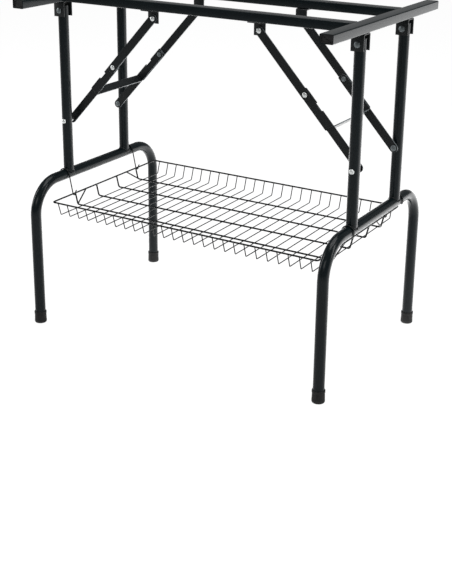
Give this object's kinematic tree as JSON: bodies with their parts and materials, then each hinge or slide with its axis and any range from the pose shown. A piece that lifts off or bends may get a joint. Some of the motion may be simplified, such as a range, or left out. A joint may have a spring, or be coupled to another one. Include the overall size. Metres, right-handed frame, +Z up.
{
  "type": "folding table undercarriage",
  "caption": "Black steel folding table base: two bent tube leg frames with jointed braces, rubber feet and a shallow wire basket hung on wire hooks between them.",
  "frame": {"origin": "on the floor, under the middle of the base", "axes": "+X along the length to the right, -Y towards the front, +Z up"},
  "size_m": [0.7958, 0.54, 0.791],
  "materials": {
    "coated_steel": "satin black powder coat",
    "coated_wire": "satin black coated wire",
    "zinc": "bright zinc",
    "rubber": "matte black"
  },
  "bodies": {
    "top_frame": {"left_cross_bar": "coated_steel", "right_cross_bar": "coated_steel", "front_long_bar": "coated_steel", "back_long_bar": "coated_steel", "left_front_hinge_rivet": "zinc", "left_front_bracket_rivet": "zinc", "left_back_hinge_rivet": "zinc", "left_back_bracket_rivet": "zinc", "right_front_hinge_rivet": "zinc", "right_front_bracket_rivet": "zinc", "right_back_hinge_rivet": "zinc", "right_back_bracket_rivet": "zinc"},
    "left_leg": {"left_leg_tube": "coated_steel", "left_front_post": "coated_steel", "left_front_foot": "rubber", "left_front_hook": "coated_wire", "left_front_pivot_rivet": "zinc", "left_back_post": "coated_steel", "left_back_foot": "rubber", "left_back_hook": "coated_wire", "left_back_pivot_rivet": "zinc"},
    "left_lower_brace": {"left_brace_web": "coated_steel", "left_front_lower_arm": "coated_steel", "left_front_knee_plate": "coated_steel", "left_front_knee_pin": "zinc", "left_back_lower_arm": "coated_steel", "left_back_knee_plate": "coated_steel", "left_back_knee_pin": "zinc"},
    "left_upper_brace": {"left_front_upper_arm": "coated_steel", "left_front_knee_rivet": "zinc", "left_back_upper_arm": "coated_steel", "left_back_knee_rivet": "zinc"},
    "right_leg": {"right_leg_tube": "coated_steel", "right_front_post": "coated_steel", "right_front_foot": "rubber", "right_front_hook": "coated_wire", "right_front_pivot_rivet": "zinc", "right_back_post": "coated_steel", "right_back_foot": "rubber", "right_back_hook": "coated_wire", "right_back_pivot_rivet": "zinc"},
    "right_lower_brace": {"right_brace_web": "coated_steel", "right_front_lower_arm": "coated_steel", "right_front_knee_plate": "coated_steel", "right_front_knee_pin": "zinc", "right_back_lower_arm": "coated_steel", "right_back_knee_plate": "coated_steel", "right_back_knee_pin": "zinc"},
    "right_upper_brace": {"right_front_upper_arm": "coated_steel", "right_front_knee_rivet": "zinc", "right_back_upper_arm": "coated_steel", "right_back_knee_rivet": "zinc"},
    "basket": {"basket_floor": "coated_wire", "basket_front_wall": "coated_wire", "basket_back_wall": "coated_wire", "basket_left_end": "coated_wire", "basket_right_end": "coated_wire"}
  },
  "joints": [
    {"name": "left_leg_fold", "type": "hinge", "parent": "top_frame", "child": "left_leg", "pos_m": [-0.382, 0, 0.74899], "axis": [0, -1, 0], "range_deg": [0, 90]},
    {"name": "left_lower_brace_turn", "type": "hinge", "parent": "left_leg", "child": "left_lower_brace", "pos_m": [-0.382, 0, 0.4826], "axis": [0, -1, 0], "range_deg": [0, 42.8]},
    {"name": "left_upper_brace_turn", "type": "hinge", "parent": "top_frame", "child": "left_upper_brace", "pos_m": [-0.1379, 0, 0.74899], "axis": [0, -1, 0], "range_deg": [-47.8, 0]},
    {"name": "right_leg_fold", "type": "hinge", "parent": "top_frame", "child": "right_leg", "pos_m": [0.382, 0, 0.74899], "axis": [0, 1, 0], "range_deg": [0, 85]},
    {"name": "right_lower_brace_turn", "type": "hinge", "parent": "right_leg", "child": "right_lower_brace", "pos_m": [0.382, 0, 0.4826], "axis": [0, 1, 0], "range_deg": [0, 41.82]},
    {"name": "right_upper_brace_turn", "type": "hinge", "parent": "top_frame", "child": "right_upper_brace", "pos_m": [0.1379, 0, 0.74899], "axis": [0, 1, 0], "range_deg": [-46.71, 0]},
    {"name": "basket_lift", "type": "slide", "parent": "top_frame", "child": "basket", "axis": [0, 0, 1], "range_m": [0, 0.12]}
  ],
  "couplings": [
    {"joint": "left_lower_brace_turn", "follows": "left_leg_fold", "ratio": 0.47222},
    {"joint": "left_upper_brace_turn", "follows": "left_leg_fold", "ratio": -0.52778},
    {"joint": "right_lower_brace_turn", "follows": "right_leg_fold", "ratio": 0.48845},
    {"joint": "right_upper_brace_turn", "follows": "right_leg_fold", "ratio": -0.54599}
  ]
}
